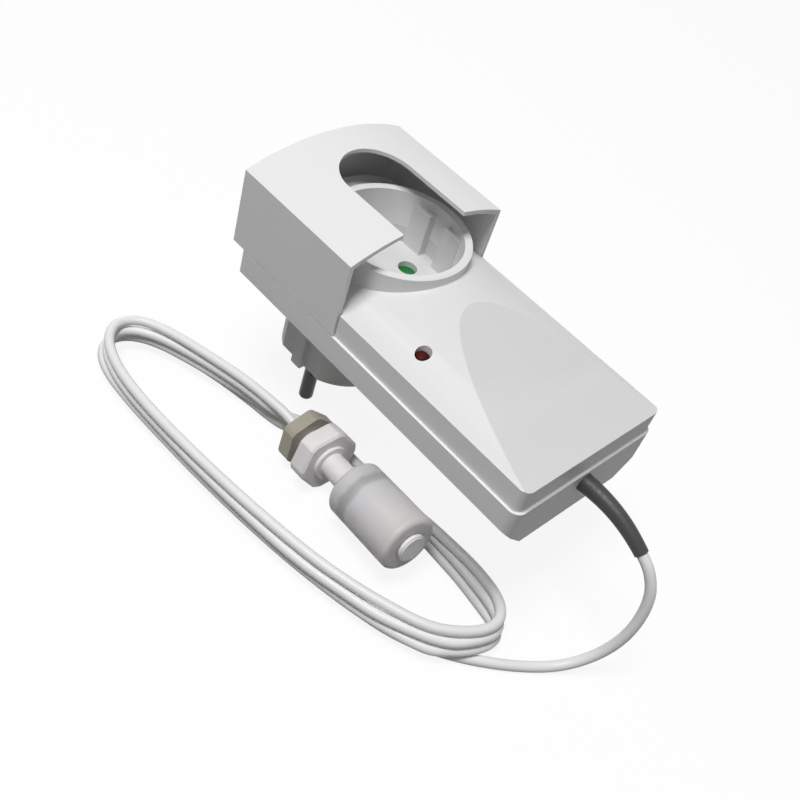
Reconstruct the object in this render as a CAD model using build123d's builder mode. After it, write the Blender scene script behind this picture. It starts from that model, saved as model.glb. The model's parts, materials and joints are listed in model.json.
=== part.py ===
from build123d import *
import math
import os

os.makedirs("parts", exist_ok=True)

# All sizes are in millimetres. The origin is the plug's axis on the plug's face,
# +X runs towards the cable end and +Z is up, away from the pins.

# Housing
body_back = -20.3
body_front = 93.4
body_half = 29.6
ledge = 0.8
wall = 1.8
belly_z = 18.7
belly_edge_z = 26.8
belly_half = 20.8
parting_z = 34.7
shoulder_z = 42.4
crown_z = 51.3
facet_x = 40.5
lower_corner = 3.3
upper_corner = 2.5
rear_corner = 0.6
fit_gap = 0.3

# Plug
plug_r = 18.45
plug_flat_half = 16.3
plug_flat_top = 12.0
plug_rib = 4.2
plug_hollow_r = 14.0
plug_floor = 3.0
plug_neck_r = 16.5
plug_flange_r = 18.0
plug_flange = 2.0
pin_r = 2.4
pin_len = 19.0
pin_half_pitch = 9.5
pin_boss_r = 4.4
pin_boss_top = 16.0
pin_tail_r = 1.5
pin_shank_r = 1.9
earth_half = 2.75
earth_thick = 0.8
earth_groove_half = 3.3
earth_groove_x = 17.0
earth_top = 14.4

# Socket
socket_x = 9.5
well_r = 19.5
collar_r = well_r + 2.3
collar_top = 54.06
collar_foot = shoulder_z - 0.4
well_floor_z = 36.5
insert_r = well_r + 2.0
insert_floor = 2.0
entry_r = 3.0
key_face = well_r - 2.9
key_near = 2.9
key_far = 9.8
key_drop = 3.0
earth_clip_r = well_r - 1.5
shutter_thick = 1.4
shutter_reach = 13.2
shutter_half = 3.6
pivot_r = 1.5
hub_r = 4.2
strip_z = 22.6
strip_thick = 0.8
strip_half = 2.6
sleeve_r = 3.4
sleeve_bore_r = 2.45
strap_z = 24.0

# Locking hood
hood_back = -24.9
hood_front = 20.5
hood_wall = 1.4
hood_top = 1.2
hood_side_z = 59.65
hood_crown_z = 65.3
slot_half = 11.95
slot_centre_x = -2.5
rail_low = 37.3
rail_high = 38.9
rail_front = 17.5

# Inside the housing
board_back = 30.0
board_front = 81.0
board_half = 23.0
board_z = 24.6
board_thick = 1.6
led_x = 45.35
led_y = -21.5
led_hole_r = 2.25
led_r = 2.0
led_top = 46.2
cable_z = 30.5
screw_back_x = -15.0
screw_front_x = 86.0
screw_y = 17.5
post_r = 4.2
post_top = 33.0
screw_r = 1.45
screw_head_r = 2.75
screw_head = 2.5
screw_seat = 25.0
screw_tip = 39.0

# Cable and its boot
cable_r = 1.6
boot_base_r = 2.8
boot_end_r = 2.05
boot_flange_r = 4.0
floor_z = -pin_len
lay_z = floor_z + cable_r

# Float switch, set out along its own axis from the middle of the nut
thread_r = 4.75
thread_end = -3.6
nut_flats = 16.5
nut_round_r = 9.1
nut_back = -2.6
nut_front = 2.2
flange_back = 5.8
flange_front = 11.8
flange_flats = 18.6
flange_round_r = 10.1
shoulder_r = 5.8
shoulder_front = 12.8
stem_r = 4.0
float_r = 9.3
float_back = 23.4
float_front = 50.2
float_bore_r = stem_r + fit_gap + 0.05
magnet_back = 28.6
magnet_front = 33.4
magnet_inner_r = 5.2
magnet_r = 7.4
clip_thick = 1.0
clip_r = 4.5
stem_front = float_front + fit_gap + clip_thick + 0.4
reed_r = 1.4
reed_chamber_r = 2.2

# Values that follow from the sizes above
upper_half = body_half - ledge
upper_back = body_back + ledge
upper_front = body_front - ledge
body_mid = (body_back + body_front) / 2
body_len = body_front - body_back
upper_len = upper_front - upper_back
belly_slope = (belly_edge_z - belly_z) / (body_half - belly_half)
belly_lift = wall * math.sqrt(1 + belly_slope**2)
inner_half = body_half - wall
inner_edge_z = belly_z + belly_slope * (inner_half - belly_half) + belly_lift
inner_belly_z = belly_z + wall
inner_belly_half = belly_half + (inner_belly_z - belly_z - belly_lift) / belly_slope
facet_slope = (crown_z - shoulder_z) / (upper_front - facet_x)
hood_inner = body_half - hood_wall
hood_foot = parting_z + fit_gap
waist_half = hood_inner - fit_gap
rail_tip = hood_inner - 1.2
groove_half = rail_tip - fit_gap
waist_front = hood_front + fit_gap
insert_bottom = well_floor_z - insert_floor
shutter_top = insert_bottom - fit_gap
shutter_bottom = shutter_top - shutter_thick
sleeve_top = shutter_bottom - 2 * fit_gap
plug_top = belly_z + wall + plug_flange
board_top = board_z + board_thick
boot_back = body_front - wall

sensor_dir = Vector(0.98702, -0.09125, 0.13214)
sensor_plane = Plane(origin=(20.32, -27.24, -9.85), x_dir=(0.09206, 0.99575, 0), z_dir=sensor_dir)
sensor_axis = Axis(sensor_plane.origin, sensor_plane.z_dir)


def along_sensor(t):
    """Point on the float switch's axis at distance t from the middle of its nut."""
    return sensor_plane.origin + sensor_plane.z_dir * t


# Lower shell: a tray with sloped lower edges, screw posts and board posts
with BuildPart() as lower_cavity:
    with BuildSketch(Plane.XY.offset(inner_belly_z)):
        with Locations((body_mid, 0)):
            RectangleRounded(body_len - 2 * wall, 2 * inner_half, lower_corner - wall)
    extrude(amount=parting_z - inner_belly_z + 1)
    with BuildSketch(Plane.YZ.offset(body_back)):
        with BuildLine():
            Polyline(
                (inner_half, parting_z + 1),
                (inner_half, inner_edge_z),
                (inner_belly_half, inner_belly_z),
                (-inner_belly_half, inner_belly_z),
                (-inner_half, inner_edge_z),
                (-inner_half, parting_z + 1),
                close=True,
            )
        make_face()
    extrude(amount=body_len, mode=Mode.INTERSECT)

with BuildPart() as lower_shell:
    with BuildSketch(Plane.XY.offset(belly_z)):
        with Locations((body_mid, 0)):
            RectangleRounded(body_len, 2 * body_half, lower_corner)
        with Locations((body_back + 2 * lower_corner, 0)):
            RectangleRounded(4 * lower_corner, 2 * body_half, rear_corner)
    extrude(amount=parting_z - belly_z)
    with BuildSketch(Plane.YZ.offset(body_back)):
        with BuildLine():
            Polyline(
                (body_half, parting_z),
                (body_half, belly_edge_z),
                (belly_half, belly_z),
                (-belly_half, belly_z),
                (-body_half, belly_edge_z),
                (-body_half, parting_z),
                close=True,
            )
        make_face()
    extrude(amount=body_len, mode=Mode.INTERSECT)
    add(lower_cavity.part, mode=Mode.SUBTRACT)
    with BuildSketch(Plane.XY.offset(inner_belly_z - 0.5)):
        for x in (screw_back_x, screw_front_x):
            with Locations((x, screw_y), (x, -screw_y)):
                Circle(post_r)
    extrude(amount=post_top - inner_belly_z + 0.5)
    with BuildSketch(Plane.XY.offset(inner_belly_z - 0.5)):
        with Locations((board_back + 4, 18.5), (board_back + 4, -18.5), (73, 18.5), (73, -18.5)):
            Circle(2.2)
    extrude(amount=board_z - inner_belly_z + 0.5)
    with BuildSketch(Plane.XY.offset(belly_z)):
        Circle(plug_neck_r)
        for x in (screw_back_x, screw_front_x):
            with Locations((x, screw_y), (x, -screw_y)):
                Circle(screw_r + fit_gap)
    extrude(amount=parting_z - belly_z, mode=Mode.SUBTRACT)
    with BuildSketch(Plane.XY.offset(belly_z)):
        for x in (screw_back_x, screw_front_x):
            with Locations((x, screw_y), (x, -screw_y)):
                Circle(screw_head_r + fit_gap)
    extrude(amount=screw_seat - belly_z, mode=Mode.SUBTRACT)
    with BuildSketch(Plane.YZ.offset(boot_back)):
        with Locations((0, cable_z)):
            Circle(boot_base_r)
    extrude(amount=wall, mode=Mode.SUBTRACT)

# Upper shell: an arched cover with a sloped facet, the collar and the hood's grooves
with BuildPart() as upper_cavity:
    with BuildSketch(Plane.XY.offset(parting_z - 1)):
        with Locations((body_mid, 0)):
            Rectangle(upper_len - 2 * wall, 2 * (upper_half - wall))
    extrude(amount=crown_z - parting_z + 2)
    with BuildSketch(Plane.YZ.offset(body_back)):
        with BuildLine():
            Polyline(
                (upper_half - wall, shoulder_z - wall),
                (upper_half - wall, parting_z - 1),
                (wall - upper_half, parting_z - 1),
                (wall - upper_half, shoulder_z - wall),
            )
            ThreePointArc(
                (wall - upper_half, shoulder_z - wall),
                (0, crown_z - wall),
                (upper_half - wall, shoulder_z - wall),
            )
        make_face()
    extrude(amount=body_len, mode=Mode.INTERSECT)
    with BuildSketch(Plane.XZ):
        with BuildLine():
            Polyline(
                (facet_x, crown_z - wall),
                (upper_front, shoulder_z - wall),
                (upper_front, crown_z + 2),
                (facet_x, crown_z + 2),
                close=True,
            )
        make_face()
    extrude(amount=body_half, both=True, mode=Mode.SUBTRACT)
    with BuildSketch(Plane.XY.offset(parting_z - 1)):
        with Locations(((body_back + waist_front) / 2 + 1, 0)):
            Rectangle(waist_front - body_back + 2, 2 * body_half)
            Rectangle(waist_front - body_back + 2, 2 * (groove_half - 1.4), mode=Mode.SUBTRACT)
    extrude(amount=crown_z - parting_z + 2, mode=Mode.SUBTRACT)

with BuildPart() as upper_shell:
    with BuildSketch(Plane.XY.offset(parting_z)):
        with Locations((body_mid, 0)):
            RectangleRounded(upper_len, 2 * upper_half, upper_corner)
    extrude(amount=crown_z - parting_z + 1)
    with BuildSketch(Plane.YZ.offset(body_back)):
        with BuildLine():
            Polyline(
                (upper_half, shoulder_z),
                (upper_half, parting_z),
                (-upper_half, parting_z),
                (-upper_half, shoulder_z),
            )
            ThreePointArc((-upper_half, shoulder_z), (0, crown_z), (upper_half, shoulder_z))
        make_face()
    extrude(amount=body_len, mode=Mode.INTERSECT)
    with BuildSketch(Plane.XZ):
        with BuildLine():
            Polyline(
                (facet_x, crown_z),
                (upper_front + 1, shoulder_z - facet_slope),
                (upper_front + 1, crown_z + 2),
                (facet_x, crown_z + 2),
                close=True,
            )
        make_face()
    extrude(amount=body_half, both=True, mode=Mode.SUBTRACT)
    add(upper_cavity.part, mode=Mode.SUBTRACT)
    with BuildSketch(Plane.XY.offset(collar_foot)):
        with Locations((socket_x, 0)):
            Circle(collar_r)
    extrude(amount=collar_top - collar_foot)
    with BuildSketch(Plane.XY.offset(collar_foot)):
        with Locations((socket_x, 0)):
            Circle(well_r)
    extrude(amount=collar_top - collar_foot + 1, mode=Mode.SUBTRACT)
    with BuildSketch(Plane.XY.offset(post_top + 0.2)):
        with Locations((screw_back_x, screw_y), (screw_back_x, -screw_y)):
            Circle(screw_r + 1.8)
    extrude(amount=47.0 - post_top - 0.2)
    with BuildSketch(Plane.XY.offset(post_top + 0.2)):
        with Locations((screw_front_x, screw_y), (screw_front_x, -screw_y)):
            Circle(screw_r + 1.8)
    extrude(amount=42.6 - post_top - 0.2)
    with BuildSketch(Plane.XY.offset(post_top)):
        for x in (screw_back_x, screw_front_x):
            with Locations((x, screw_y), (x, -screw_y)):
                Circle(screw_r)
    extrude(amount=screw_tip + 0.5 - post_top, mode=Mode.SUBTRACT)
    with BuildSketch(Plane.XY.offset(parting_z)):
        with Locations(((body_back + waist_front) / 2 - 1, 0)):
            Rectangle(waist_front - body_back + 2, 2 * body_half + 2)
            Rectangle(waist_front - body_back + 2, 2 * waist_half, mode=Mode.SUBTRACT)
    extrude(amount=crown_z - parting_z, mode=Mode.SUBTRACT)
    with BuildSketch(Plane.XY.offset(rail_low - fit_gap)):
        with Locations(((body_back + rail_front) / 2 - 1, 0)):
            Rectangle(rail_front + fit_gap - body_back + 2, 2 * body_half)
            Rectangle(rail_front + fit_gap - body_back + 2, 2 * groove_half, mode=Mode.SUBTRACT)
    extrude(amount=rail_high - rail_low + 2 * fit_gap, mode=Mode.SUBTRACT)
    with BuildSketch(Plane.XY.offset(shoulder_z - 3)):
        with Locations((led_x, led_y)):
            Circle(led_hole_r)
    extrude(amount=crown_z - shoulder_z + 3, mode=Mode.SUBTRACT)

# Locking hood: an arched cover over the socket that slides off backwards
with BuildPart() as plug_lock_hood:
    with BuildSketch(Plane.YZ.offset(hood_back)):
        with BuildLine():
            Polyline(
                (body_half, hood_side_z),
                (body_half, hood_foot),
                (-body_half, hood_foot),
                (-body_half, hood_side_z),
            )
            ThreePointArc((-body_half, hood_side_z), (0, hood_crown_z), (body_half, hood_side_z))
        make_face()
    extrude(amount=hood_front - hood_back)
    with BuildSketch(Plane.YZ.offset(hood_back + hood_wall)):
        with BuildLine():
            Polyline(
                (hood_inner, hood_side_z - hood_top),
                (hood_inner, hood_foot),
                (-hood_inner, hood_foot),
                (-hood_inner, hood_side_z - hood_top),
            )
            ThreePointArc(
                (-hood_inner, hood_side_z - hood_top),
                (0, hood_crown_z - hood_top),
                (hood_inner, hood_side_z - hood_top),
            )
        make_face()
    extrude(amount=hood_front - hood_back, mode=Mode.SUBTRACT)
    with BuildSketch(Plane.XY.offset(collar_top)):
        with Locations((slot_centre_x, 0)):
            Circle(slot_half)
        with Locations(((slot_centre_x + hood_front + 1) / 2, 0)):
            Rectangle(hood_front + 1 - slot_centre_x, 2 * slot_half)
    extrude(amount=hood_crown_z - collar_top + 1, mode=Mode.SUBTRACT)
    with BuildSketch(Plane.XY.offset(rail_low)):
        for side in (-1, 1):
            with Locations(((hood_back + hood_wall + rail_front) / 2, side * (rail_tip + hood_inner) / 2)):
                Rectangle(rail_front - hood_back - hood_wall, hood_inner - rail_tip + 0.02)
    extrude(amount=rail_high - rail_low)

# Plug body: round, with two keyed flats and two earth grooves
with BuildPart() as plug_body:
    with BuildSketch(Plane.XY):
        Circle(plug_r)
    extrude(amount=belly_z)
    with BuildSketch(Plane.XY.offset(belly_z)):
        Circle(plug_neck_r)
    extrude(amount=wall)
    with BuildSketch(Plane.XY.offset(belly_z + wall)):
        Circle(plug_flange_r)
    extrude(amount=plug_flange)
    with BuildSketch(Plane.XY.offset(plug_floor)):
        Circle(plug_hollow_r)
    extrude(amount=plug_top, mode=Mode.SUBTRACT)
    with BuildSketch(Plane.XY.offset(plug_floor)):
        with Locations((0, pin_half_pitch), (0, -pin_half_pitch)):
            Circle(pin_boss_r)
    extrude(amount=pin_boss_top - plug_floor)
    with BuildSketch(Plane.XY):
        with Locations((0, pin_half_pitch), (0, -pin_half_pitch)):
            Circle(pin_shank_r)
    extrude(amount=pin_boss_top, mode=Mode.SUBTRACT)
    with BuildSketch(Plane.XY):
        with Locations((0, pin_half_pitch), (0, -pin_half_pitch)):
            Circle(pin_r + 0.2)
    extrude(amount=0.4, mode=Mode.SUBTRACT)
    for start in (-plug_r - 1, plug_rib / 2):
        with BuildSketch(Plane.YZ.offset(start)):
            for side in (-1, 1):
                with BuildLine():
                    Polyline(
                        (side * plug_flat_half, 0),
                        (side * (plug_r + 1), 0),
                        (side * (plug_r + 1), plug_flat_top + plug_r + 1 - plug_flat_half),
                        (side * plug_flat_half, plug_flat_top),
                        close=True,
                    )
                make_face()
        extrude(amount=plug_r + 1 - plug_rib / 2, mode=Mode.SUBTRACT)
    with BuildSketch(Plane.XY):
        for side in (-1, 1):
            with Locations((side * (earth_groove_x + plug_r + 1) / 2, 0)):
                Rectangle(plug_r + 1 - earth_groove_x, 2 * earth_groove_half)
    extrude(amount=earth_top + 0.4, mode=Mode.SUBTRACT)
    with BuildSketch(Plane.XY.offset(earth_top - earth_thick)):
        for side in (-1, 1):
            with Locations((side * (plug_hollow_r + earth_groove_x) / 2, 0)):
                Rectangle(earth_groove_x - plug_hollow_r + 1, 2 * earth_half)
    extrude(amount=earth_thick, mode=Mode.SUBTRACT)

# Two round pins, each with a thinner shank in its boss and a tail up to the contact strip
pins = []
for side in (-1, 1):
    with BuildPart() as pin:
        with BuildSketch(Plane.XY.offset(-pin_len)):
            with Locations((0, side * pin_half_pitch)):
                Circle(pin_r)
        extrude(amount=pin_len)
        fillet(pin.edges().sort_by(Axis.Z)[0], radius=pin_r * 0.6)
        with BuildSketch(Plane.XY):
            with Locations((0, side * pin_half_pitch)):
                Circle(pin_shank_r)
        extrude(amount=pin_boss_top)
        with BuildSketch(Plane.XY.offset(pin_boss_top)):
            with Locations((0, side * pin_half_pitch)):
                Circle(pin_tail_r)
        extrude(amount=strip_z - pin_boss_top)
    pins.append(pin)

# Two earth strips in the plug's grooves, with a tail up to the earth strap
earth_strips = []
for side in (-1, 1):
    with BuildPart() as strip:
        with BuildSketch(Plane.XZ):
            with BuildLine():
                Polyline(
                    (side * (earth_groove_x + earth_thick), 0.5),
                    (side * (earth_groove_x + earth_thick), earth_top),
                    (side * (plug_hollow_r - 0.5), earth_top),
                    (side * (plug_hollow_r - 0.5), strap_z),
                    (side * (plug_hollow_r - 0.5 - earth_thick), strap_z),
                    (side * (plug_hollow_r - 0.5 - earth_thick), earth_top - earth_thick),
                    (side * earth_groove_x, earth_top - earth_thick),
                    (side * earth_groove_x, 0.5),
                    close=True,
                )
            make_face()
        extrude(amount=earth_half, both=True)
    earth_strips.append(strip)

# Socket insert: well floor, keys for the plug's flats and the shutter's pivot
with BuildPart() as socket_insert:
    with BuildSketch(Plane.XY.offset(insert_bottom)):
        with Locations((socket_x, 0)):
            Circle(insert_r)
    extrude(amount=collar_foot - insert_bottom)
    with BuildSketch(Plane.XY.offset(well_floor_z)):
        with Locations((socket_x, 0)):
            Circle(well_r)
    extrude(amount=collar_foot - well_floor_z, mode=Mode.SUBTRACT)
    with BuildSketch(Plane.XY.offset(well_floor_z)):
        with Locations((socket_x, 0)):
            Circle(well_r)
        with Locations((socket_x, 0)):
            Rectangle(2 * well_r, 2 * key_face, mode=Mode.SUBTRACT)
            Rectangle(2 * key_near, 2 * well_r, mode=Mode.SUBTRACT)
        with Locations((socket_x + key_far + well_r, 0), (socket_x - key_far - well_r, 0)):
            Rectangle(2 * well_r, 2 * well_r, mode=Mode.SUBTRACT)
    extrude(amount=collar_top - key_drop - well_floor_z)
    with BuildSketch(Plane.XY.offset(insert_bottom)):
        with Locations((socket_x, pin_half_pitch), (socket_x, -pin_half_pitch)):
            Circle(entry_r)
        for side in (-1, 1):
            with Locations((socket_x + side * earth_clip_r, 0)):
                Rectangle(earth_thick, 2 * earth_half)
    extrude(amount=insert_floor, mode=Mode.SUBTRACT)
    with BuildSketch(Plane.XY.offset(shutter_bottom - 2 * fit_gap - 1.0)):
        with Locations((socket_x, 0)):
            Circle(pivot_r)
    extrude(amount=insert_bottom - shutter_bottom + 2 * fit_gap + 1.0)

# Shutter: two arms that close the pin entries and turn away together
with BuildPart() as socket_shutter:
    with BuildSketch(Plane.XY.offset(shutter_bottom)):
        with Locations((socket_x, 0)):
            Rectangle(2 * shutter_half, 2 * shutter_reach)
            Circle(hub_r)
            Circle(pivot_r + fit_gap, mode=Mode.SUBTRACT)
    extrude(amount=shutter_thick)

with BuildPart() as shutter_washer:
    with BuildSketch(Plane.XY.offset(shutter_bottom - fit_gap - 0.8)):
        with Locations((socket_x, 0)):
            Circle(3.0)
            Circle(pivot_r, mode=Mode.SUBTRACT)
    extrude(amount=0.8)

# Two contact sleeves under the pin entries, each on a strip from its pin
sleeves = []
for side in (-1, 1):
    with BuildPart() as sleeve:
        with BuildSketch(Plane.XY.offset(strip_z)):
            with Locations(((socket_x - strip_half) / 2 + strip_half / 2, side * pin_half_pitch)):
                Rectangle(socket_x + 2 * sleeve_r - 0.8, 2 * strip_half)
            with Locations((socket_x, side * pin_half_pitch)):
                Circle(sleeve_r)
        extrude(amount=strip_thick)
        with BuildSketch(Plane.XY.offset(strip_z + strip_thick)):
            with Locations((socket_x, side * pin_half_pitch)):
                Circle(sleeve_r)
                Circle(sleeve_bore_r, mode=Mode.SUBTRACT)
        extrude(amount=sleeve_top - strip_z - strip_thick)
    sleeves.append(sleeve)

# Earth strap, and two sprung earth clips that stand up inside the well
with BuildPart() as earth_strap:
    with BuildSketch(Plane.XY.offset(strap_z)):
        with Locations(((socket_x + earth_clip_r + 0.4 - plug_hollow_r) / 2, 0)):
            Rectangle(socket_x + earth_clip_r + 0.4 + plug_hollow_r, 2 * (earth_half - 0.5))
    extrude(amount=earth_thick)

clips = []
for side in (-1, 1):
    with BuildPart() as clip:
        with BuildSketch(Plane.XZ):
            with BuildLine():
                Polyline(
                    (socket_x + side * (earth_clip_r + 0.4), strap_z + earth_thick),
                    (socket_x + side * (earth_clip_r + 0.4), well_floor_z + 4.1),
                    (socket_x + side * (earth_clip_r - 2.4), well_floor_z + 8.4),
                    (socket_x + side * (earth_clip_r - 1.0), well_floor_z + 12.2),
                    (socket_x + side * (earth_clip_r - 1.8), well_floor_z + 12.2),
                    (socket_x + side * (earth_clip_r - 3.3), well_floor_z + 8.3),
                    (socket_x + side * (earth_clip_r - 0.4), well_floor_z + 3.9),
                    (socket_x + side * (earth_clip_r - 0.4), strap_z + earth_thick),
                    close=True,
                )
            make_face()
        extrude(amount=earth_half, both=True)
    clips.append(clip)

# Electronics
with BuildPart() as circuit_board:
    with BuildSketch(Plane.XY.offset(board_z)):
        with Locations(((board_back + board_front) / 2, 0)):
            Rectangle(board_front - board_back, 2 * board_half)
    extrude(amount=board_thick)

with BuildPart() as relay:
    with BuildSketch(Plane.XY.offset(board_top)):
        with Locations((38.4, 2.5)):
            Rectangle(12.7, 29.0)
    extrude(amount=15.7)
    chamfer(relay.faces().sort_by(Axis.Z)[-1].edges(), length=0.6)

with BuildPart() as transformer:
    with BuildSketch(Plane.XY.offset(board_top)):
        with Locations((59.5, 3.5)):
            RectangleRounded(25.0, 28.0, 1.0)
    extrude(amount=13.0)

with BuildPart() as electrolytic_capacitors:
    with BuildSketch(Plane.XY.offset(board_top)):
        with Locations((53, -16), (62, -16)):
            Circle(4.0)
    extrude(amount=11.5)

with BuildPart() as film_capacitor:
    with BuildSketch(Plane.XY.offset(board_top)):
        with Locations((73.5, -17.5)):
            Rectangle(13.0, 5.0)
    extrude(amount=11.0)

with BuildPart() as fuse:
    with BuildSketch(Plane.YZ.offset(50)):
        with Locations((20.3, board_top + 2.6)):
            Circle(2.6)
    extrude(amount=20)

with BuildPart() as terminal_block:
    with BuildSketch(Plane.XY.offset(board_top)):
        with Locations((board_front - 4.0, 0)):
            Rectangle(7.0, 10.0)
    extrude(amount=10.0)

with BuildPart() as red_led:
    with BuildSketch(Plane.XY.offset(led_top - 5.2)):
        with Locations((led_x, led_y)):
            Circle(led_r)
    extrude(amount=5.2)
    fillet(red_led.edges().sort_by(Axis.Z)[-1], radius=led_r * 0.6)
    with BuildSketch(Plane.XY.offset(board_top)):
        with Locations((led_x - 1.27 / 2, led_y), (led_x + 1.27 / 2, led_y)):
            Rectangle(0.5, 0.5)
    extrude(amount=led_top - 5.2 - board_top)

wires = []
for side in (-1, 1):
    with BuildLine() as wire_route:
        FilletPolyline(
            (socket_x + sleeve_r, side * pin_half_pitch, strip_z + 0.6),
            (21.0, side * pin_half_pitch, strip_z + 0.6),
            (25.0, side * pin_half_pitch, board_z + 0.8),
            (board_back, side * pin_half_pitch, board_z + 0.8),
            radius=3.0,
        )
    wire_track = wire_route.wire()
    with BuildPart() as wire:
        with BuildSketch(Plane(origin=wire_track @ 0, z_dir=wire_track % 0)):
            Circle(0.7)
        sweep(path=wire_track)
    wires.append(wire.part)

with BuildPart() as inner_wires:
    for wire in wires:
        add(wire)

# Screws from below, shown as one group
with BuildPart() as housing_screws:
    with BuildSketch(Plane.XY.offset(screw_seat - screw_head)):
        for x in (screw_back_x, screw_front_x):
            with Locations((x, screw_y), (x, -screw_y)):
                Circle(screw_head_r)
    extrude(amount=screw_head)
    with BuildSketch(Plane.XY.offset(screw_seat)):
        for x in (screw_back_x, screw_front_x):
            with Locations((x, screw_y), (x, -screw_y)):
                Circle(screw_r)
    extrude(amount=screw_tip - screw_seat)
    with BuildSketch(Plane.XY.offset(screw_seat - screw_head)):
        for x in (screw_back_x, screw_front_x):
            with Locations((x, screw_y), (x, -screw_y)):
                Rectangle(3.2, 0.7)
                Rectangle(0.7, 3.2)
    extrude(amount=1.4, mode=Mode.SUBTRACT)

# Strain relief boot, bent down towards its end, and the cable inside the housing
boot_stations = [
    ((body_front, cable_z), (1, 0)),
    ((99.3, 30.7), (1, -0.03)),
    ((105.0, 30.1), (1, -0.22)),
    ((110.9, 28.4), (1, -0.36)),
    ((116.9, 25.5), (1, -0.56)),
]
with BuildPart() as strain_relief_boot:
    for number, (place, heading) in enumerate(boot_stations):
        share = number / (len(boot_stations) - 1)
        with BuildSketch(Plane(origin=(place[0], 0, place[1]), x_dir=(0, 1, 0), z_dir=(heading[0], 0, heading[1]))):
            Circle(boot_base_r + share * (boot_end_r - boot_base_r))
    loft()
    with BuildSketch(Plane.YZ.offset(boot_back)):
        with Locations((0, cable_z)):
            Circle(boot_base_r)
    extrude(amount=wall)
    with BuildSketch(Plane.YZ.offset(boot_back - wall)):
        with Locations((0, cable_z)):
            Circle(boot_flange_r)
    extrude(amount=wall)

with BuildPart() as inner_cable:
    with BuildSketch(Plane.YZ.offset(board_front - 0.5)):
        with Locations((0, cable_z)):
            Circle(cable_r)
    extrude(amount=boot_back - wall - board_front + 0.5)

with BuildPart() as cable_clamp:
    with BuildSketch(Plane.XY.offset(inner_belly_z)):
        with Locations((screw_front_x, 0)):
            RectangleRounded(4.0, 13.0, 0.8)
    extrude(amount=cable_z + 3.0 - inner_belly_z)
    with BuildSketch(Plane.YZ.offset(screw_front_x - 3)):
        with Locations((0, cable_z)):
            Circle(cable_r)
    extrude(amount=6, mode=Mode.SUBTRACT)

# Float switch stem: thread, hexagonal flange, shoulder and stem in one moulding
with BuildPart() as sensor_stem:
    with BuildSketch(sensor_plane.offset(thread_end)):
        Circle(thread_r)
    extrude(amount=flange_back - thread_end)
    with BuildSketch(sensor_plane.offset(flange_back)):
        RegularPolygon(flange_flats / 2, 6, major_radius=False, rotation=70)
        Circle(flange_round_r, mode=Mode.INTERSECT)
    extrude(amount=flange_front - flange_back)
    chamfer(sensor_stem.faces().sort_by(sensor_axis)[-1].edges(), length=0.7)
    with BuildSketch(sensor_plane.offset(flange_front)):
        Circle(shoulder_r)
    extrude(amount=shoulder_front - flange_front)
    with BuildSketch(sensor_plane.offset(shoulder_front)):
        Circle(stem_r)
    extrude(amount=stem_front - shoulder_front)
    with BuildSketch(sensor_plane.offset(float_front + fit_gap)):
        Circle(stem_r)
        Circle(stem_r - 0.6, mode=Mode.SUBTRACT)
    extrude(amount=clip_thick, mode=Mode.SUBTRACT)
    with BuildSketch(sensor_plane.offset(thread_end)):
        Circle(cable_r)
    extrude(amount=10, mode=Mode.SUBTRACT)
    with BuildSketch(sensor_plane.offset(thread_end + 10)):
        Circle(reed_chamber_r)
    extrude(amount=float_front - 4 - thread_end - 10, mode=Mode.SUBTRACT)

with BuildPart() as reed_switch:
    with BuildSketch(sensor_plane.offset(24)):
        Circle(reed_r)
    extrude(amount=18)
    with BuildSketch(sensor_plane.offset(thread_end + 6)):
        Circle(0.3)
    extrude(amount=float_front - 4 - thread_end - 6)

with BuildPart() as retaining_clip:
    with BuildSketch(sensor_plane.offset(float_front + fit_gap)):
        Circle(clip_r)
        Circle(stem_r - 0.6, mode=Mode.SUBTRACT)
    extrude(amount=clip_thick)

with BuildPart() as float_body:
    with BuildSketch(sensor_plane.offset(float_back)):
        Circle(float_r)
    extrude(amount=float_front - float_back)
    fillet(float_body.edges().filter_by(GeomType.CIRCLE), radius=1.6)
    with BuildSketch(sensor_plane.offset(float_back)):
        Circle(float_bore_r)
    extrude(amount=float_front - float_back, mode=Mode.SUBTRACT)
    with BuildSketch(sensor_plane.offset(magnet_back)):
        Circle(magnet_r)
    extrude(amount=magnet_front - magnet_back, mode=Mode.SUBTRACT)

with BuildPart() as ring_magnet:
    with BuildSketch(sensor_plane.offset(magnet_back)):
        Circle(magnet_r)
        Circle(magnet_inner_r, mode=Mode.SUBTRACT)
    extrude(amount=magnet_front - magnet_back)

with BuildPart() as sensor_nut:
    with BuildSketch(sensor_plane.offset(nut_back)):
        RegularPolygon(nut_flats / 2, 6, major_radius=False, rotation=81)
        Circle(nut_round_r, mode=Mode.INTERSECT)
        Circle(thread_r + fit_gap, mode=Mode.SUBTRACT)
    extrude(amount=nut_front - nut_back)

# Cable: the free stretch from the boot, the coil, and the end in the float switch
lead_route = [
    (116.9, 0, 25.5),
    (120.4, 0, 23.6),
    (123.2, 0, 20.6),
    (125.1, 0, 16.6),
    (126.6, -0.4, 10.4),
    (127.4, -1.6, 2.0),
    (126.2, -3.6, -8.0),
    (121.3, -9.0, -16.2),
    (114.6, -19.0, lay_z),
    (107.2, -28.8, lay_z),
    (97.2, -38.2, lay_z),
]
tail_route = [
    tuple(along_sensor(thread_end + 6)),
    tuple(along_sensor(-11.0)),
    (-3.0, -28.2, -12.6),
]
coil_outer = [
    (-51.6, -47.5), (-49.5, -56.5), (-40, -62.0), (-24, -62.6), (10, -61.1), (32, -59.0),
    (53, -56.0), (71, -51.8), (87, -46.8), (98, -39.8), (104.4, -29.5), (103.6, -20.8),
    (98, -14.6), (89, -12.4), (70, -12.2), (45, -12.2), (31, -12.6), (20, -13.4),
    (11, -16.4), (0, -21.6), (-15, -26.8), (-28, -31.0), (-40, -34.8), (-48.5, -39.8),
]
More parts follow.
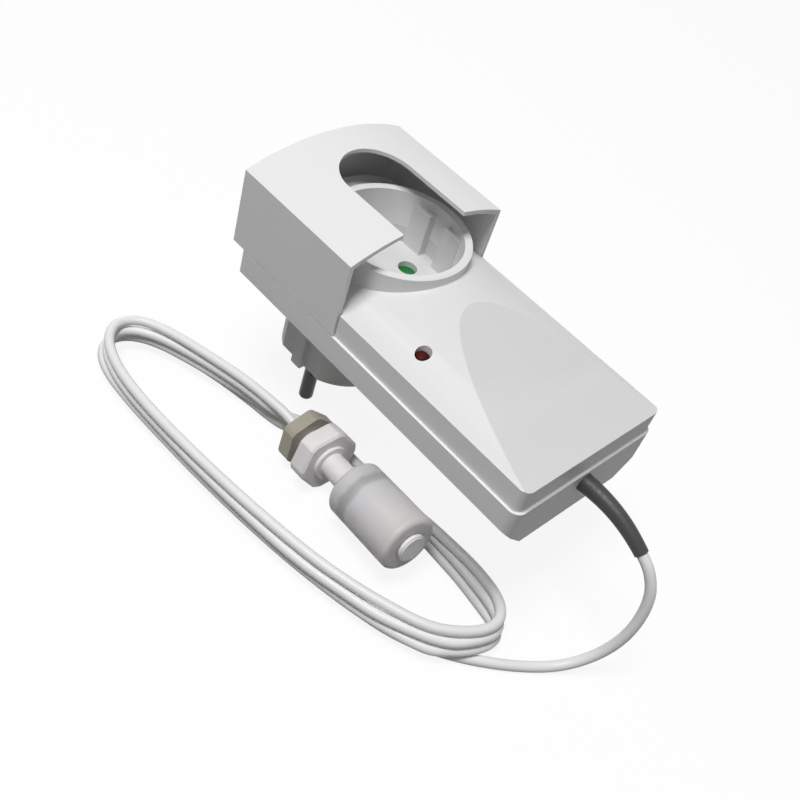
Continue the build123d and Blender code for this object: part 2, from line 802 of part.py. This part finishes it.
coil_inner = [
    (-44.8, -46.0), (-43.0, -51.0), (-37.5, -54.0), (-24, -55.2), (10, -53.6), (32, -51.6),
    (53, -48.8), (70, -45.3), (82, -41.0), (91, -34.5), (95.6, -27), (94.6, -21.6),
    (89, -19.8), (78, -19.6), (60, -20.0), (45, -20.6), (31, -21.6), (15, -26.4),
    (0, -30.4), (-15, -33.2), (-28, -36.8), (-39, -40.4),
]
coil_top = -9.2


def corner_radii(route):
    """Arc radius at each inner corner, as large as the two runs beside it allow."""
    places = [Vector(*place) for place in route]
    radii = []
    for before, corner, after in zip(places, places[1:], places[2:]):
        turn = (corner - before).get_angle(after - corner)
        shorter = min((corner - before).length, (after - corner).length)
        radii.append(0.45 * shorter / math.tan(math.radians(turn) / 2))
    return radii


tubes = []
for label, route in (("lead", lead_route), ("tail", tail_route)):
    radii = corner_radii(route)
    with BuildLine() as path:
        FilletPolyline(*route, radius=radii)
    track = path.wire()
    with BuildPart() as tube:
        with BuildSketch(Plane(origin=track @ 0, z_dir=track % 0)):
            Circle(cable_r)
        sweep(path=track)
    tubes.append(tube)
    print(label, "radii", [round(r, 1) for r in radii], "length", round(track.length, 1))
    print(label, "volume", round(tube.part.volume, 1), "section x length", round(math.pi * cable_r**2 * track.length, 1))
cable_lead, cable_tail = tubes

# The coil's outer shape, cut back where the float switch lies across it
with BuildPart() as cable_coil:
    with BuildSketch(Plane.XY.offset(floor_z)):
        with BuildLine():
            Spline(*coil_outer, periodic=True)
        make_face()
        with BuildLine():
            Spline(*coil_inner, periodic=True)
        make_face(mode=Mode.SUBTRACT)
    extrude(amount=coil_top - floor_z)
    with BuildSketch(sensor_plane.offset(thread_end - fit_gap)):
        Circle(max(nut_flats / math.sqrt(3), flange_round_r) + fit_gap)
    extrude(amount=80, mode=Mode.SUBTRACT)

nodes = {
    "lower_shell": lower_shell,
    "upper_shell": upper_shell,
    "plug_lock_hood": plug_lock_hood,
    "plug_body": plug_body,
    "plug_pin_left": pins[0],
    "plug_pin_right": pins[1],
    "plug_earth_strip_back": earth_strips[0],
    "plug_earth_strip_front": earth_strips[1],
    "socket_insert": socket_insert,
    "socket_shutter": socket_shutter,
    "shutter_washer": shutter_washer,
    "contact_sleeve_left": sleeves[0],
    "contact_sleeve_right": sleeves[1],
    "earth_strap": earth_strap,
    "earth_clip_back": clips[0],
    "earth_clip_front": clips[1],
    "circuit_board": circuit_board,
    "relay": relay,
    "transformer": transformer,
    "electrolytic_capacitors": electrolytic_capacitors,
    "film_capacitor": film_capacitor,
    "fuse": fuse,
    "terminal_block": terminal_block,
    "red_led": red_led,
    "inner_wires": inner_wires,
    "housing_screws": housing_screws,
    "strain_relief_boot": strain_relief_boot,
    "inner_cable": inner_cable,
    "cable_clamp": cable_clamp,
    "sensor_stem": sensor_stem,
    "reed_switch": reed_switch,
    "retaining_clip": retaining_clip,
    "float_body": float_body,
    "ring_magnet": ring_magnet,
    "sensor_nut": sensor_nut,
    "cable_lead": cable_lead,
    "cable_tail": cable_tail,
    "cable_coil": cable_coil,
}
for name, built in nodes.items():
    built.part.label = name
    export_step(built.part, "parts/" + name + ".step")
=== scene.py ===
"""Looks for the mains adapter with its float switch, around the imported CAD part."""

import json

import bpy
from mathutils import Matrix, Vector


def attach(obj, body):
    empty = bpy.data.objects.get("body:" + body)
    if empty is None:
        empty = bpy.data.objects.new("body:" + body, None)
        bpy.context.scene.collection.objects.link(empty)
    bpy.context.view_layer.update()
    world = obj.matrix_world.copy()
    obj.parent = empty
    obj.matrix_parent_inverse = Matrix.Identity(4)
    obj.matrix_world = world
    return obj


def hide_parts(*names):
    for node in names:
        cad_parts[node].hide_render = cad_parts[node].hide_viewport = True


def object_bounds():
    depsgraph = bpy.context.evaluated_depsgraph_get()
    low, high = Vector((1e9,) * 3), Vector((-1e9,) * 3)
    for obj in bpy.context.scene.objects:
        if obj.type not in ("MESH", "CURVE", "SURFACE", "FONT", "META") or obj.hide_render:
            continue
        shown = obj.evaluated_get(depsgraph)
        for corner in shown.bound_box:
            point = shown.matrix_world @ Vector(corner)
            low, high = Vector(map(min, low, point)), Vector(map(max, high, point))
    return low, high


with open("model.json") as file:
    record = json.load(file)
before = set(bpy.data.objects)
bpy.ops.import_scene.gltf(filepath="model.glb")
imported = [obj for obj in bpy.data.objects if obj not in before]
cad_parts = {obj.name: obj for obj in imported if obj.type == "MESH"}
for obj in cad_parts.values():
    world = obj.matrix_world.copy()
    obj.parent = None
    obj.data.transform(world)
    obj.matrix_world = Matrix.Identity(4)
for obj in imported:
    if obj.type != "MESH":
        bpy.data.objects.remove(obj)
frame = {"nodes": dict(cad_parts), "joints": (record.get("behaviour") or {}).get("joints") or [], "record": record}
cad_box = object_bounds()
nodes = frame["nodes"]
scene = bpy.context.scene

# Camera: its place and the directions of its sides, fitted to the photograph's straight edges and circles
CAMERA_PLACE = (0.1579, -0.19678, 0.22852)
CAMERA_RIGHT = (0.6565, 0.7128, 0.2466)
CAMERA_UP = (-0.6436, 0.3588, 0.6761)
CAMERA_BACK = (0.3934, -0.6026, 0.6943)
SENSOR_WIDTH = 36.0
LENS = 47.37
NEAREST = 0.01
FARTHEST = 10

# Surface that the object stands on: the part's lowest point, to a tenth of a millimetre
FLOOR = round(cad_box[0][2], 4)
FLOOR_HALF_WIDTH = 3.0
FLOOR_GREY = 0.12
FLOOR_GLOW = 0.89

# Light: a soft white room, a lamp over the front and a weak one low at the back, both aimed at the housing
ROOM_LIGHT = 0.19
ROOM_SEEN = 1.0
AIM = (0.04, 0, 0.02)
LAMPS = {
    "key": {"place": (0.02, -0.35, 1.07), "power": 9.0, "width": 0.36},
    "back": {"place": (-0.90, 0.45, 0.06), "power": 2.2, "width": 0.5},
}

# Noise: the part of its range that most of a surface lies in, and how much fine structure it has
NOISE_LOW = 0.3
NOISE_HIGH = 0.7
MOTTLE_DETAIL = 4.0
MOTTLE_ROUGHNESS = 0.6
GRAIN_DETAIL = 3.0
GRAIN_DEPTH = 0.0004
SMOOTHEST = 0.02

# Painted edge highlights: where an edge counts as sharp, and how much paler the highlight makes it
EDGE_STARTS = 0.52
EDGE_FULL = 0.62
EDGE_GAIN = 1.12
EDGE_LIFT = 0.02
SUBSURFACE_REACH = (1.0, 0.95, 0.9)

# Painted shade on the sloped facet of the lid, which tilts away from the light: the direction it faces, how
# closely a face has to match it, and how much darker the painted shade makes it
FACET = (0.1684, 0, 0.9857)
FACET_NEAR = 0.9988
FACET_EXACT = 0.9996
FACET_PAINTED_SHADE = 0.90

# Float: the stretch of its axis that the colours run along, measured from the nut, and the clouds in it
FLOAT_STARTS = 0.0220
FLOAT_ENDS = 0.0520
CLOUD_SHIFT = 0.0030
CLOUD_SCALE = 150.0
CLOUD_DETAIL = 5.0
MAGNET_STOPS = ((0.22, 0.95), (0.29, 0.64), (0.33, 0.68), (0.40, 0.99))
MAGNET_BLUE = 1.01
TIP_STOP = 0.95
TIP_COLOR = (1, 0.985, 0.97, 1)

# Plain white, and a factor that takes all of a tone
WHITE = (1, 1, 1, 1)
FULL = 1.0

# Cable's sheath, and how finely its line and its round are divided
SHEATH_RADIUS = 0.0016
SPLINE_ORDER = 3
SPLINE_STEPS = 8
ROUND_STEPS = 6
MM_IN_METRE = 1000


def grey(value):
    return (value, value, value)


# One finish for each of the record's material slots; the edge entries set how strongly painted highlights pale the
# sharp edges
FINISHES = {
    # Housing, plug and socket
    "housing_plastic": {
        "color": grey(0.80), "rough": 0.50, "bump": 0.06, "grain": 2600, "vary": 0.008, "edge_highlight": 0.5,
        "ior": 1.36,
    },
    "hood_plastic": {
        "color": grey(0.80), "rough": 0.46, "bump": 0.05, "grain": 2600, "vary": 0.008, "edge_highlight": 0.5,
        "ior": 1.36,
    },
    "plug_plastic": {
        "color": grey(0.66), "rough": 0.45, "bump": 0.06, "grain": 2200, "vary": 0.01, "edge_highlight": 0.4,
    },
    # Painted shade: the socket is a darker grey than the housing, so that its well looks deeper in shade
    "socket_plastic": {
        "color": grey(0.70), "rough": 0.44, "bump": 0.05, "grain": 2400, "vary": 0.01, "edge_highlight": 0.4,
    },
    "shutter_plastic": {
        "color": (0.015, 0.20, 0.045), "rough": 0.38, "bump": 0.05, "grain": 1800, "vary": 0.06,
    },
    "led_red": {
        "color": (0.050, 0.002, 0.002), "rough": 0.50, "bump": 0.02, "grain": 1500, "vary": 0.12,
        "rough_vary": 0.04, "ior": 1.25,
    },
    # Metal
    # Painted dark reflection: the pins are given a near-black colour, so that they look as if they mirrored dark
    # surroundings
    "pin_metal": {
        "color": grey(0.05), "rough": 0.10, "bump": 0.05, "grain": 3000, "vary": 0.02, "metal": 1.0,
        "rough_vary": 0.05, "stretch": (1, 1, 0.08),
    },
    "contact_brass": {
        "color": (0.68, 0.50, 0.20), "rough": 0.30, "bump": 0.08, "grain": 2400, "vary": 0.06, "metal": 1.0,
    },
    "spring_steel": {
        "color": (0.60, 0.60, 0.58), "rough": 0.25, "bump": 0.06, "grain": 2400, "vary": 0.03, "metal": 1.0,
        "stretch": (1, 1, 0.1),
    },
    "screw_steel": {
        "color": (0.55, 0.55, 0.54), "rough": 0.28, "bump": 0.08, "grain": 2600, "vary": 0.04, "metal": 1.0,
    },
    # Electronics inside
    "board_laminate": {
        "color": (0.02, 0.14, 0.05), "rough": 0.35, "bump": 0.12, "grain": 1500, "vary": 0.12, "coat": 0.4,
    },
    "relay_case": {"color": (0.012, 0.012, 0.014), "rough": 0.42, "bump": 0.08, "grain": 2000, "vary": 0.1},
    "transformer_case": {
        "color": (0.016, 0.016, 0.018), "rough": 0.55, "bump": 0.12, "grain": 1500, "vary": 0.15,
    },
    "capacitor_sleeve": {
        "color": (0.01, 0.014, 0.06), "rough": 0.25, "bump": 0.03, "grain": 1500, "vary": 0.08, "coat": 0.5,
    },
    "film_case": {"color": (0.55, 0.36, 0.03), "rough": 0.40, "bump": 0.08, "grain": 1800, "vary": 0.06},
    "fuse_glass": {
        "color": (0.86, 0.90, 0.90), "rough": 0.06, "bump": 0.02, "grain": 900, "vary": 0.02,
        "rough_vary": 0.03, "clear": 0.9,
    },
    "terminal_plastic": {
        "color": (0.02, 0.10, 0.03), "rough": 0.42, "bump": 0.08, "grain": 2000, "vary": 0.08,
    },
    "wire_sleeve": {"color": (0.02, 0.03, 0.16), "rough": 0.40, "bump": 0.05, "grain": 2000, "vary": 0.08},
    # Boot and cable
    "boot_rubber": {
        "color": (0.040, 0.040, 0.042), "rough": 0.48, "bump": 0.14, "grain": 2200, "vary": 0.10,
        "edge_highlight": 0.4,
    },
    "cable_white": {
        "color": grey(0.90), "rough": 0.38, "bump": 0.02, "grain": 1600, "vary": 0.015, "ior": 1.42,
    },
    # Float switch
    "sensor_plastic": {
        "color": (0.86, 0.835, 0.835), "rough": 0.36, "bump": 0.06, "grain": 1800, "vary": 0.02,
        "subsurface": 0.15, "edge_highlight": 0.4,
    },
    "clip_plastic": {
        "color": (0.88, 0.87, 0.88), "rough": 0.36, "bump": 0.06, "grain": 1800, "vary": 0.02,
        "subsurface": 0.1, "edge_highlight": 0.4,
    },
    "float_plastic": {
        "color": (0.68, 0.665, 0.672), "rough": 0.46, "bump": 0.08, "grain": 1500, "vary": 0.05,
        "subsurface": 0.6, "subsurface_scale": 0.007, "mottle": 110, "edge_highlight": 0.4,
    },
    "magnet_ferrite": {
        "color": (0.030, 0.030, 0.032), "rough": 0.6, "bump": 0.2, "grain": 2200, "vary": 0.2, "metal": 0.2,
    },
    "reed_glass": {
        "color": (0.62, 0.85, 0.66), "rough": 0.07, "bump": 0.02, "grain": 900, "vary": 0.04,
        "rough_vary": 0.03, "clear": 0.85,
    },
    "nut_plastic": {
        "color": (0.36, 0.335, 0.27), "rough": 0.48, "bump": 0.14, "grain": 1500, "vary": 0.05, "edge_highlight": 0.6,
    },
}

# Cable: millimetres along the middle of the sheath. The lead runs out of the boot and down to the floor.
LEAD = [
    (116.9, 0, 25.5), (119.1, 0, 24.3), (121.2, 0, 22.5), (123.2, 0, 19.9), (124.8, -0.2, 17.0),
    (125.9, -0.6, 13.5), (126.6, -1.2, 9.4), (126.9, -2.0, 5.0), (126.6, -3.2, -0.6),
    (125.3, -4.9, -6.7), (123.0, -7.8, -12.1), (119.6, -12.6, -16.0), (115.2, -18.8, -17.4),
    (108.0, -27.7, -17.4), (98.0, -37.2, -17.4),
]

# Turns of the coil, from the floor up: each turn's height, and its places. Where a turn climbs or dips,
# the place has a height of its own.
TURNS = [
    (-17.4, [
        (86.0, -45.4), (70.0, -50.4), (52.5, -54.3), (32.7, -57.2), (10.8, -59.2), (-7.8, -60.2),
        (-24.5, -60.7), (-38.8, -60.0), (-47.1, -56.7), (-50.4, -51.0), (-48.6, -44.4), (-41.5, -38.4),
        (-30.0, -33.8), (-17.5, -30.2), (-6.0, -27.8), (2.5, -26.6), (8.2, -25.0), (13.2, -21.4),
        (19.0, -19.3), (30.0, -18.9), (47.0, -17.9), (62.0, -16.4), (75.0, -16.7), (81.9, -17.0),
    ]),
    (-14.3, [
        (90.3, -18.2, -17.2), (97.0, -19.5, -16.6), (101.6, -21.9, -15.8), (102.7, -25.9, -15.1),
        (102.0, -30.4, -14.5), (100.2, -34.9), (97.4, -39.0), (94.4, -42.8), (89.1, -45.6), (83.4, -48.0),
        (77.4, -50.2), (70.9, -52.0), (53.9, -56.1), (34.3, -58.9), (12.6, -60.9), (-5.7, -61.9),
        (-22.2, -62.4), (-36.3, -61.7), (-44.5, -58.4), (-47.9, -52.6), (-45.6, -46.0), (-38.3, -40.4),
        (-26.0, -35.5), (-12.0, -30.9), (-4.0, -28.4), (2.0, -26.0, -14.8), (7.0, -22.2, -16.1),
        (12.0, -18.2, -17.2), (18.5, -15.8, -17.4), (30.0, -15.5, -17.4), (45.0, -15.2, -16.9),
        (57.0, -15.1, -15.4), (65.0, -15.4, -14.4), (72.5, -15.5, -14.2), (79.4, -15.8, -14.2),
    ]),
    (-11.2, [
        (86.9, -16.6, -14.0), (94.6, -18.0, -13.4), (99.9, -20.5, -12.7), (102.0, -24.7, -11.9),
        (101.4, -29.4, -11.4), (99.6, -34.2), (96.9, -38.6), (92.5, -42.2), (87.5, -45.2), (82.3, -48.0),
        (76.8, -50.4), (69.9, -52.4), (53.9, -56.9), (34.2, -59.5), (12.7, -61.4), (-6.2, -62.3),
        (-21.9, -62.6), (-33.7, -61.4), (-42.4, -58.2), (-46.9, -52.4), (-45.0, -46.4), (-38.4, -40.9),
        (-26.0, -35.7), (-11.0, -31.1), (-3.0, -29.4), (3.0, -28.3, -11.5), (7.8, -26.0, -12.3),
        (11.4, -21.8, -13.5), (16.2, -18.3, -14.3), (24.0, -17.1, -14.5), (35.0, -16.9, -14.5),
        (46.0, -16.4, -14.0), (57.0, -15.8, -12.4), (65.0, -15.5), (72.0, -15.2, -11.0),
        (80.0, -14.7, -11.0),
    ]),
    (-8.0, [
        (87.0, -15.0, -10.9), (94.2, -16.6, -10.3), (98.9, -20.0, -9.7), (100.8, -24.3, -9.1),
        (100.3, -28.9, -8.6), (98.2, -33.3, -8.5), (94.8, -37.8, -8.5), (90.7, -41.6, -8.5),
        (85.5, -44.5, -8.4), (79.8, -47.0, -8.3), (74.3, -49.3, -8.1), (68.1, -51.5), (55.2, -55.1),
        (32.5, -58.8), (11.5, -61.1), (-6.9, -62.4), (-22.3, -62.5), (-33.8, -61.0), (-42.8, -57.6),
        (-47.8, -51.6), (-45.8, -44.6), (-38.2, -39.6), (-25.1, -35.2), (-11.5, -31.3),
    ]),
]

# Off the coil and into the float switch
TAIL = [
    (-3.5, -29.6, -8.1), (3.0, -28.6, -8.3), (8.6, -27.5, -8.9), (13.4, -26.9, -10.1), (17.8, -27.0, -10.2),
    (22.69, -27.46, -9.53),
]


def add_camera():
    data = bpy.data.cameras.new("camera")
    data.sensor_width = SENSOR_WIDTH
    data.sensor_fit = "HORIZONTAL"
    data.lens = LENS
    data.clip_start = NEAREST
    data.clip_end = FARTHEST
    camera = bpy.data.objects.new("camera", data)
    turn = Matrix((CAMERA_RIGHT, CAMERA_UP, CAMERA_BACK)).transposed()
    camera.matrix_world = Matrix.Translation(CAMERA_PLACE) @ turn.to_4x4()
    scene.collection.objects.link(camera)
    scene.camera = camera


def add_node(tree, kind, sockets, **settings):
    """A new shader node: its settings first, then each named socket, linked or set to a value."""
    node = tree.nodes.new("ShaderNode" + kind)
    for setting, value in settings.items():
        setattr(node, setting, value)
    for socket, value in sockets.items():
        if isinstance(value, bpy.types.NodeSocket):
            tree.links.new(value, node.inputs[socket])
        else:
            node.inputs[socket].default_value = value
    return node


def empty_tree(owner):
    owner.use_nodes = True
    owner.node_tree.nodes.clear()
    return owner.node_tree


def seen_directly(tree):
    """1 for what the camera, a reflection or a clear piece sees, and 0 for light that falls on things."""
    rays = add_node(tree, "LightPath", {})
    seen = rays.outputs["Is Camera Ray"]
    for kind in ("Is Glossy Ray", "Is Transmission Ray"):
        seen = add_node(tree, "Math", {0: seen, 1: rays.outputs[kind]}, operation="MAXIMUM").outputs["Value"]
    return seen


def mottled_color(tree, place, color, vary, mottle):
    """The base colour, a little darker and lighter in soft patches."""
    soft = add_node(tree, "TexNoise", {
        "Vector": place, "Scale": mottle, "Detail": MOTTLE_DETAIL, "Roughness": MOTTLE_ROUGHNESS,
    })
    ramp = add_node(tree, "ValToRGB", {"Fac": soft.outputs["Fac"]})
    dark, pale = ramp.color_ramp.elements
    dark.position = NOISE_LOW
    dark.color = (*[c * (1 - vary) for c in color], 1)
    pale.position = NOISE_HIGH
    pale.color = (*[min(1.0, c * (1 + vary)) for c in color], 1)
    return ramp.outputs["Color"]


def paint_edge_highlights(tree, tint, color, edge_highlight):
    """The tint, with painted highlights that make the sharp edges paler, as if they caught the light."""
    shape = add_node(tree, "NewGeometry", {})
    sharp = add_node(tree, "MapRange", {
        "Value": shape.outputs["Pointiness"], "From Min": EDGE_STARTS, "From Max": EDGE_FULL,
        "To Min": 0.0, "To Max": edge_highlight,
    })
    pale = [min(1.0, c * EDGE_GAIN + EDGE_LIFT) for c in color]
    highlighted = add_node(tree, "Mix", {"Factor": sharp.outputs["Result"], "A": tint, "B": (*pale, 1)},
                    data_type="RGBA")
    return highlighted.outputs["Result"]


def material(name, color, rough, bump, grain, vary, rough_vary=0.08, metal=0.0, clear=0.0, subsurface=0.0,
             subsurface_scale=0.002, ior=1.5, coat=0.0, stretch=(1, 1, 1), edge_highlight=0.0, mottle=160.0):
    """A moulded or rolled surface: fine grain in the bump and the gloss, and a soft mottle in the colour."""
    made = bpy.data.materials.new(name)
    tree = empty_tree(made)
    coords = add_node(tree, "TexCoord", {})
    mapping = add_node(tree, "Mapping", {"Vector": coords.outputs["Object"], "Scale": stretch})
    place = mapping.outputs["Vector"]
    tint = mottled_color(tree, place, color, vary, mottle)
    # Painted highlights on the sharp edges, where the finish asks for them
    if edge_highlight:
        tint = paint_edge_highlights(tree, tint, color, edge_highlight)
    fine = add_node(tree, "TexNoise", {"Vector": place, "Scale": grain, "Detail": GRAIN_DETAIL})
    gloss = add_node(tree, "MapRange", {
        "Value": fine.outputs["Fac"], "From Min": NOISE_LOW, "From Max": NOISE_HIGH,
        "To Min": max(SMOOTHEST, rough - rough_vary), "To Max": rough + rough_vary,
    })
    hump = add_node(tree, "Bump", {"Height": fine.outputs["Fac"], "Strength": bump, "Distance": GRAIN_DEPTH})
    surface = add_node(tree, "BsdfPrincipled", {
        "Base Color": tint, "Roughness": gloss.outputs["Result"], "Normal": hump.outputs["Normal"],
        "Metallic": metal, "IOR": ior, "Transmission Weight": clear, "Coat Weight": coat,
        "Subsurface Weight": subsurface, "Subsurface Radius": SUBSURFACE_REACH,
        "Subsurface Scale": subsurface_scale,
    })
    add_node(tree, "OutputMaterial", {"Surface": surface.outputs["BSDF"]})
    return made


def multiply_color(tree, tone):
    """Multiplies the material's base colour by another colour or by a number."""
    base = next(node for node in tree.nodes if node.type == "BSDF_PRINCIPLED").inputs["Base Color"]
    mix = add_node(tree, "Mix", {"Factor": FULL, "A": base.links[0].from_socket, "B": tone},
                   data_type="RGBA", blend_type="MULTIPLY")
    tree.links.new(mix.outputs["Result"], base)


def paint_facet_shade(tree):
    """Painted shade: the flat sloped facet on the lid is made a touch greyer than the arched roof round it, the
    shade of a face that tilts away from the light.
    """
    shape = add_node(tree, "NewGeometry", {})
    match = add_node(tree, "VectorMath", {0: shape.outputs["True Normal"], 1: FACET},
                     operation="DOT_PRODUCT")
    tone = add_node(tree, "MapRange", {
        "Value": match.outputs["Value"], "From Min": FACET_NEAR, "From Max": FACET_EXACT,
        "To Min": FULL, "To Max": FACET_PAINTED_SHADE,
    })
    multiply_color(tree, tone.outputs["Result"])


def show_magnet(tree, axis, nut_place):
    """The float is cloudy, with a darker ring where the magnet shows through, and warmer at its tip."""
    coords = add_node(tree, "TexCoord", {}).outputs["Object"]
    along = add_node(tree, "VectorMath", {0: coords, 1: axis}, operation="DOT_PRODUCT")
    cloud = add_node(tree, "TexNoise", {"Vector": coords, "Scale": CLOUD_SCALE, "Detail": CLOUD_DETAIL})
    shaken = add_node(tree, "Math", {0: cloud.outputs["Fac"], 1: CLOUD_SHIFT, 2: along.outputs["Value"]},
                      operation="MULTIPLY_ADD")
    start = sum(a * b for a, b in zip(axis, nut_place))
    place = add_node(tree, "MapRange", {
        "Value": shaken.outputs["Value"], "From Min": start + FLOAT_STARTS, "From Max": start + FLOAT_ENDS,
    })
    band = add_node(tree, "ValToRGB", {"Fac": place.outputs["Result"]})
    ramp = band.color_ramp
    ramp.interpolation = "EASE"
    ramp.elements[0].color = WHITE
    ramp.elements[1].position = TIP_STOP
    ramp.elements[1].color = TIP_COLOR
    for stop, tone in MAGNET_STOPS:
        ramp.elements.new(stop).color = (tone, tone, tone * MAGNET_BLUE, 1)
    multiply_color(tree, band.outputs["Color"])


def dress_nodes():
    """Gives each of the part's nodes the finish of its slot."""
    materials = {slot: material(slot, **finish) for slot, finish in FINISHES.items()}
    nut_turn = next(joint for joint in frame["joints"] if joint["name"] == "nut_turn")
    # Painted shade on the lid's sloped facet
    paint_facet_shade(materials["housing_plastic"].node_tree)
    show_magnet(materials["float_plastic"].node_tree, nut_turn["axis"], nut_turn["pos_m"])
    for part in frame["record"]["subparts"]:
        data = nodes[part["node"]].data
        data.materials.clear()
        data.materials.append(materials[part["material_slot"]])
    return materials


def cable_route():
    """The cable's points from the boot to the float switch, with each turn's places at its height."""
    route = list(LEAD)
    for height, places in TURNS:
        for x, y, *own_height in places:
            route.append((x, y, *(own_height or [height])))
    return route + TAIL


def nurbs_cord(name, points, finish):
    data = bpy.data.curves.new(name, "CURVE")
    data.dimensions = "3D"
    spline = data.splines.new("NURBS")
    spline.points.add(len(points) - 1)
    for point, place in zip(spline.points, points):
        point.co = (*[value / MM_IN_METRE for value in place], 1)
    spline.order_u = SPLINE_ORDER
    spline.use_endpoint_u = True
    spline.resolution_u = SPLINE_STEPS
    data.resolution_u = SPLINE_STEPS
    data.bevel_depth = SHEATH_RADIUS
    data.bevel_resolution = ROUND_STEPS
    data.use_fill_caps = True
    data.materials.append(finish)
    cord = bpy.data.objects.new(name, data)
    scene.collection.objects.link(cord)
    return cord


def add_floor():
    """A floor that glows only where it is looked at, so that it is white and still takes soft shadows."""
    mesh = bpy.data.meshes.new("floor")
    sides = ((-1, -1), (1, -1), (1, 1), (-1, 1))
    corners = [(x * FLOOR_HALF_WIDTH, y * FLOOR_HALF_WIDTH, FLOOR) for x, y in sides]
    mesh.from_pydata(corners, [], [(0, 1, 2, 3)])
    finish = bpy.data.materials.new("floor_pale")
    tree = empty_tree(finish)
    matt = add_node(tree, "BsdfDiffuse", {"Color": (*grey(FLOOR_GREY), 1)})
    strength = add_node(tree, "Math", {0: seen_directly(tree), 1: FLOOR_GLOW}, operation="MULTIPLY")
    glow = add_node(tree, "Emission", {"Color": WHITE, "Strength": strength.outputs["Value"]})
    both = add_node(tree, "AddShader", {0: matt.outputs["BSDF"], 1: glow.outputs["Emission"]})
    add_node(tree, "OutputMaterial", {"Surface": both.outputs["Shader"]})
    mesh.materials.append(finish)
    floor = bpy.data.objects.new("floor", mesh)
    scene.collection.objects.link(floor)
    return floor


def add_room():
    """A white room that is bright to look at and gives only a little light."""
    world = bpy.data.worlds.new("world")
    scene.world = world
    tree = empty_tree(world)
    light = add_node(tree, "Background", {"Color": WHITE, "Strength": ROOM_LIGHT})
    shown = add_node(tree, "Background", {"Color": WHITE, "Strength": ROOM_SEEN})
    mix = add_node(tree, "MixShader", {
        "Fac": seen_directly(tree), 1: light.outputs["Background"], 2: shown.outputs["Background"],
    })
    add_node(tree, "OutputWorld", {"Surface": mix.outputs["Shader"]})


def add_lamp(name, place, power, width):
    data = bpy.data.lights.new(name, "AREA")
    data.shape = "SQUARE"
    data.size = width
    data.energy = power
    lamp = bpy.data.objects.new(name, data)
    scene.collection.objects.link(lamp)
    lamp.location = place
    lamp.rotation_euler = (Vector(AIM) - Vector(place)).to_track_quat("-Z", "Y").to_euler()


add_camera()
materials = dress_nodes()

cable = nurbs_cord("sensor_cable", cable_route(), materials["cable_white"])
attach(cable, "housing")
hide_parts("cable_lead", "cable_coil", "cable_tail")

add_floor()
add_room()
for lamp_name, settings in LAMPS.items():
    add_lamp(lamp_name, **settings)
scene.view_settings.view_transform = "Standard"
